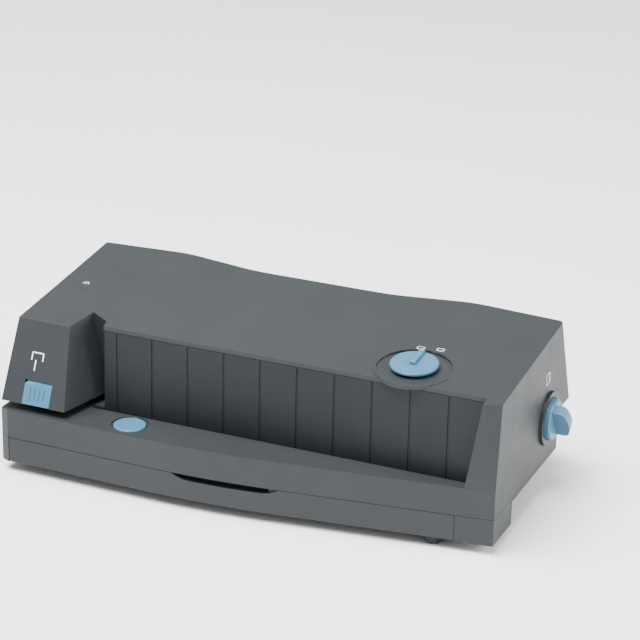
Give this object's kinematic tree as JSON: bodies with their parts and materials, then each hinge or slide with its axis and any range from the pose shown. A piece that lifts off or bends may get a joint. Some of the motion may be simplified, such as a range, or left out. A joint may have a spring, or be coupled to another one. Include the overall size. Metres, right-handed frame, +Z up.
{
  "type": "electric paper punch and stapler",
  "caption": "Wedge-topped desk machine that punches sheets standing in a front slot and staples corners under a head, with dial, knob, press button, chip tray and slide-out staple magazine.",
  "frame": {"origin": "middle of the footprint box, on the table", "axes": "+X along the paper slot to the right block and knob, +Y to the back, +Z up"},
  "size_m": [0.475, 0.2394, 0.1523],
  "materials": {
    "housing_plastic": "satin charcoal grey moulded plastic with a fine even texture",
    "throat_plastic": "darker grey moulded plastic",
    "blue_plastic": "smooth grey-blue control plastic",
    "black_plastic": "black moulded plastic",
    "acetal": "off-white acetal",
    "rubber": "soft black rubber",
    "steel": "turned and ground steel",
    "zinc_steel": "zinc-plated pressed steel",
    "bronze": "sintered bronze",
    "circuit_board": "green solder mask",
    "lamp": "dark smoked lens"
  },
  "bodies": {
    "housing": {"upper_housing": "housing_plastic", "base_pan": "housing_plastic", "throat_back_panel": "throat_plastic", "side_knob_bezel": "black_plastic", "die_plate": "steel", "guide_block": "zinc_steel", "ram_guide_rod_left": "steel", "ram_guide_rod_right": "steel", "chassis_left": "zinc_steel", "chassis_right": "zinc_steel", "camshaft_bush_left": "bronze", "camshaft_bush_right": "bronze", "punch_motor": "steel", "button_spring": "steel", "button_switch": "black_plastic", "control_board": "circuit_board", "stapler_frame": "zinc_steel", "driver_pivot_pin": "steel", "stapler_motor": "steel", "staple_anvil": "steel", "power_inlet": "black_plastic", "transformer": "zinc_steel", "ready_lamp": "lamp", "fault_lamp": "lamp", "foot_front_left": "rubber", "foot_front_right": "rubber", "foot_rear_left": "rubber", "foot_rear_right": "rubber", "base_screw_front_left": "steel", "base_screw_rear_left": "steel", "base_screw_front_right": "steel", "base_screw_rear_right": "steel"},
    "chip_tray": {"chip_tray": "housing_plastic"},
    "dial": {"selector_dial": "blue_plastic", "selector_crank": "acetal"},
    "ram": {"punch_ram": "zinc_steel", "three_hole_pin_left": "steel", "two_hole_pin_left": "steel", "three_hole_pin_centre": "steel", "two_hole_pin_right": "steel", "three_hole_pin_right": "steel"},
    "selector_bar": {"selector_bar": "zinc_steel"},
    "camshaft": {"camshaft": "steel", "punch_cam_left": "acetal", "punch_cam_right": "acetal", "cam_gear": "acetal"},
    "motor_pinion": {"motor_pinion": "bronze"},
    "margin_knob": {"side_knob": "blue_plastic", "margin_shaft": "acetal"},
    "margin_stop": {"margin_stop": "zinc_steel"},
    "punch_button": {"punch_button": "blue_plastic"},
    "magazine": {"staple_magazine": "steel", "staple_stick": "zinc_steel", "staple_pusher": "black_plastic", "pusher_spring": "steel"},
    "release_tab": {"release_tab": "blue_plastic"},
    "driver_arm": {"driver_arm": "steel"},
    "stapler_cam": {"stapler_cam": "acetal"},
    "power_switch": {"power_switch": "black_plastic"}
  },
  "joints": [
    {"name": "chip_tray_slide", "type": "slide", "parent": "housing", "child": "chip_tray", "axis": [0, -1, 0], "range_m": [0, 0.06]},
    {"name": "dial_turn", "type": "hinge", "parent": "housing", "child": "dial", "pos_m": [0.1255, -0.04544, 0.13899], "axis": [0, -0.1011, 0.9949], "range_deg": [-25, 0]},
    {"name": "camshaft_turn", "type": "hinge", "parent": "housing", "child": "camshaft", "pos_m": [0.0105, -0.00564, 0.0565], "axis": [1, 0, 0], "range_deg": [0, 180]},
    {"name": "ram_slide", "type": "slide", "parent": "housing", "child": "ram", "axis": [0, -1, 0], "range_m": [0, 0.012]},
    {"name": "motor_pinion_turn", "type": "hinge", "parent": "housing", "child": "motor_pinion", "pos_m": [0.1695, 0.02784, 0.0365], "axis": [1, 0, 0], "range_deg": [-600, 0]},
    {"name": "selector_slide", "type": "slide", "parent": "ram", "child": "selector_bar", "axis": [-1, 0, 0], "range_m": [0, 0.00606]},
    {"name": "margin_knob_turn", "type": "hinge", "parent": "housing", "child": "margin_knob", "pos_m": [0.2165, 0.04856, 0.072], "axis": [1, 0, 0], "range_deg": [-28.65, 28.65]},
    {"name": "margin_stop_slide", "type": "slide", "parent": "housing", "child": "margin_stop", "axis": [0, 0, 1], "range_m": [-0.003, 0.003]},
    {"name": "punch_button_press", "type": "slide", "parent": "housing", "child": "punch_button", "axis": [0, 0, -1], "range_m": [0, 0.002], "stiffness_N_per_m": 250, "springref_m": -0.002, "deforming": ["button_spring"]},
    {"name": "magazine_slide", "type": "slide", "parent": "housing", "child": "magazine", "axis": [0, -1, 0], "range_m": [0, 0.07]},
    {"name": "release_tab_press", "type": "slide", "parent": "magazine", "child": "release_tab", "axis": [0, 1, 0], "range_m": [0, 0.0015], "stiffness_N_per_m": 300, "springref_m": -0.002},
    {"name": "stapler_cam_turn", "type": "hinge", "parent": "housing", "child": "stapler_cam", "pos_m": [-0.2035, -0.05644, 0.106], "axis": [1, 0, 0], "range_deg": [-180, 0]},
    {"name": "driver_arm_swing", "type": "hinge", "parent": "housing", "child": "driver_arm", "pos_m": [-0.2035, -0.03244, 0.093], "axis": [1, 0, 0], "range_deg": [0, 12.5]},
    {"name": "power_switch_rock", "type": "hinge", "parent": "housing", "child": "power_switch", "pos_m": [-0.1175, 0.07356, 0.05], "axis": [1, 0, 0], "range_deg": [-9, 0]}
  ],
  "couplings": [
    {"joint": "camshaft_turn", "follows": "ram_slide", "rad_per_m": 261.8},
    {"joint": "motor_pinion_turn", "follows": "ram_slide", "rad_per_m": -872.66},
    {"joint": "dial_turn", "follows": "selector_slide", "rad_per_m": -71.998},
    {"joint": "margin_knob_turn", "follows": "margin_stop_slide", "rad_per_m": -166.66},
    {"joint": "driver_arm_swing", "follows": "stapler_cam_turn", "ratio": -0.068889}
  ]
}
